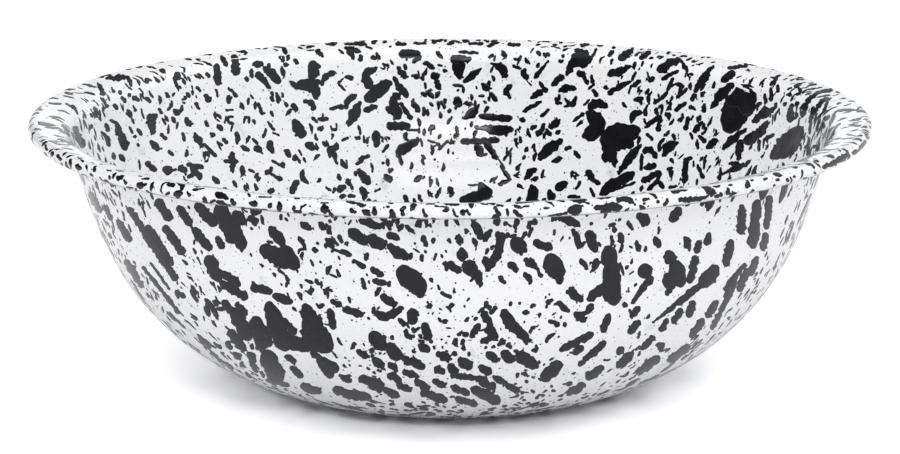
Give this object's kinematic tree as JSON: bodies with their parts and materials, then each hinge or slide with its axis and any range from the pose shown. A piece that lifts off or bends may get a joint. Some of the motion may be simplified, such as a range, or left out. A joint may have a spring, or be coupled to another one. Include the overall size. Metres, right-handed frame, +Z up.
{
  "type": "enamel basin bowl",
  "caption": "Round enamelled steel basin bowl with a flat base, a curved flaring wall, a narrow brim and a rolled rim, for serving, mixing or washing.",
  "frame": {"origin": "centre of the flat base, on the surface that the bowl stands on", "axes": "+Z up along the bowl's axis of symmetry, towards the open mouth; X and Y lie in the surface it stands on"},
  "size_m": [0.33, 0.33, 0.105],
  "materials": {
    "steel": "cold-rolled sheet, pickled before enamelling",
    "ground_coat": "fired ground coat enamel, dark blue-black",
    "inner_enamel": "glossy white vitreous enamel with black splatter",
    "outer_enamel": "glossy white vitreous enamel with black splatter",
    "rim_enamel": "glossy white vitreous enamel with black dabs"
  },
  "bodies": {
    "root": {"steel_bowl": "steel", "inner_ground_coat": "ground_coat", "outer_ground_coat": "ground_coat", "inner_enamel": "inner_enamel", "outer_enamel": "outer_enamel", "rim_enamel": "rim_enamel"}
  },
  "joints": []
}
